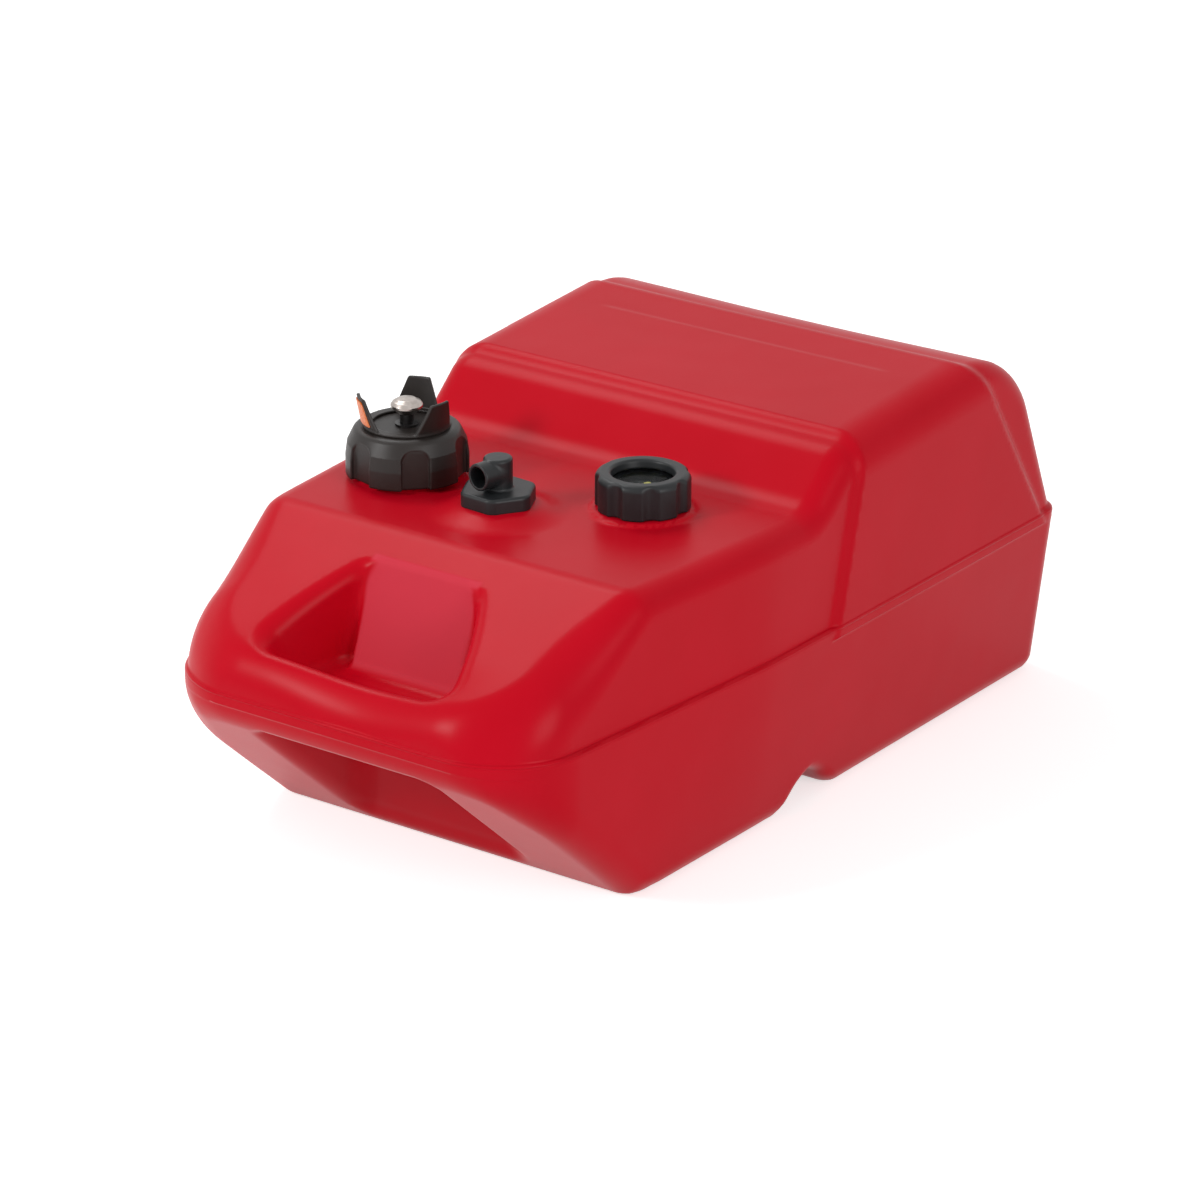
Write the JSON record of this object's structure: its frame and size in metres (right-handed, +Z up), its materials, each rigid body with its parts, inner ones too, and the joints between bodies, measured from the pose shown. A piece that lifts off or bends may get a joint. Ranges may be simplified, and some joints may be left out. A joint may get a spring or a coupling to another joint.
{
  "type": "outboard fuel tank",
  "caption": "Portable red fuel tank with a sloped handle front, a screw filler cap with a push vent, a hose pickup and a float gauge.",
  "frame": {"origin": "centre of the tank's plan on the plane it stands on", "axes": "+Z up, +Y towards the tall rear block, -Y towards the handle, +X towards the gauge side"},
  "size_m": [0.317, 0.57, 0.2526],
  "materials": {
    "red_polyethylene": "moulded satin gloss",
    "black_plastic": "fine moulded grain",
    "black_inner_plastic": "moulded",
    "charcoal_plastic": "moulded satin",
    "orange_plastic": "moulded",
    "yellow_plastic": "moulded",
    "dark_dial_plastic": "moulded",
    "natural_plastic": "moulded natural",
    "nitrile_rubber": "smooth",
    "satin_steel": "satin",
    "spring_steel": "drawn wire",
    "clear_lens": "clear polished plastic",
    "float_foam": "closed-cell foam"
  },
  "bodies": {
    "tank": {"tank_shell": "red_polyethylene", "pickup_body": "charcoal_plastic", "pickup_seal": "nitrile_rubber", "pickup_dip_tube": "natural_plastic", "pickup_strainer": "natural_plastic", "pickup_check_ball": "satin_steel", "pickup_check_spring": "spring_steel", "gauge_gasket": "nitrile_rubber", "gauge_housing": "charcoal_plastic", "gauge_dial": "dark_dial_plastic", "gauge_lens": "clear_lens", "gauge_ring_nut": "charcoal_plastic", "float_pivot_pin": "satin_steel"},
    "cap_seal": {"cap_gasket": "nitrile_rubber"},
    "cap": {"cap_closure": "black_inner_plastic", "cap_shell": "black_plastic", "cap_vane_guard": "black_plastic", "cap_vane_insert": "orange_plastic", "vent_bush": "black_plastic", "vent_spring": "spring_steel"},
    "vent": {"vent_stem": "black_plastic", "vent_button": "satin_steel", "vent_valve_disc": "nitrile_rubber", "vent_retaining_clip": "spring_steel"},
    "float_assembly": {"float_gear": "natural_plastic", "float_arm": "spring_steel", "float": "float_foam"},
    "pointer_assembly": {"gauge_pointer": "yellow_plastic", "gauge_shaft": "natural_plastic", "gauge_pinion": "natural_plastic"}
  },
  "joints": [
    {"name": "cap_lift", "type": "slide", "parent": "tank", "child": "cap_seal", "axis": [0, 0, 1], "range_m": [0, 0.0121]},
    {"name": "cap_turn", "type": "hinge", "parent": "cap_seal", "child": "cap", "pos_m": [-0.0916, -0.0908, 0.22], "axis": [0, 0, 1], "range_deg": [0, 720]},
    {"name": "vent_press", "type": "slide", "parent": "cap", "child": "vent", "axis": [0, 0, -1], "range_m": [0, 0.0025], "stiffness_N_per_m": 800, "springref_m": -0.003, "deforming": ["vent_spring"]},
    {"name": "float_swing", "type": "hinge", "parent": "tank", "child": "float_assembly", "pos_m": [0.0613, -0.0535, 0.105], "axis": [1, 0, 0], "range_deg": [0, 68]},
    {"name": "pointer_turn", "type": "hinge", "parent": "tank", "child": "pointer_assembly", "pos_m": [0.0613, -0.0535, 0.2], "axis": [0, 0, -1], "range_deg": [0, 103]}
  ],
  "couplings": [
    {"joint": "cap_lift", "follows": "cap_turn", "m_per_rad": 0.00095493},
    {"joint": "pointer_turn", "follows": "float_swing", "ratio": 1.5}
  ]
}
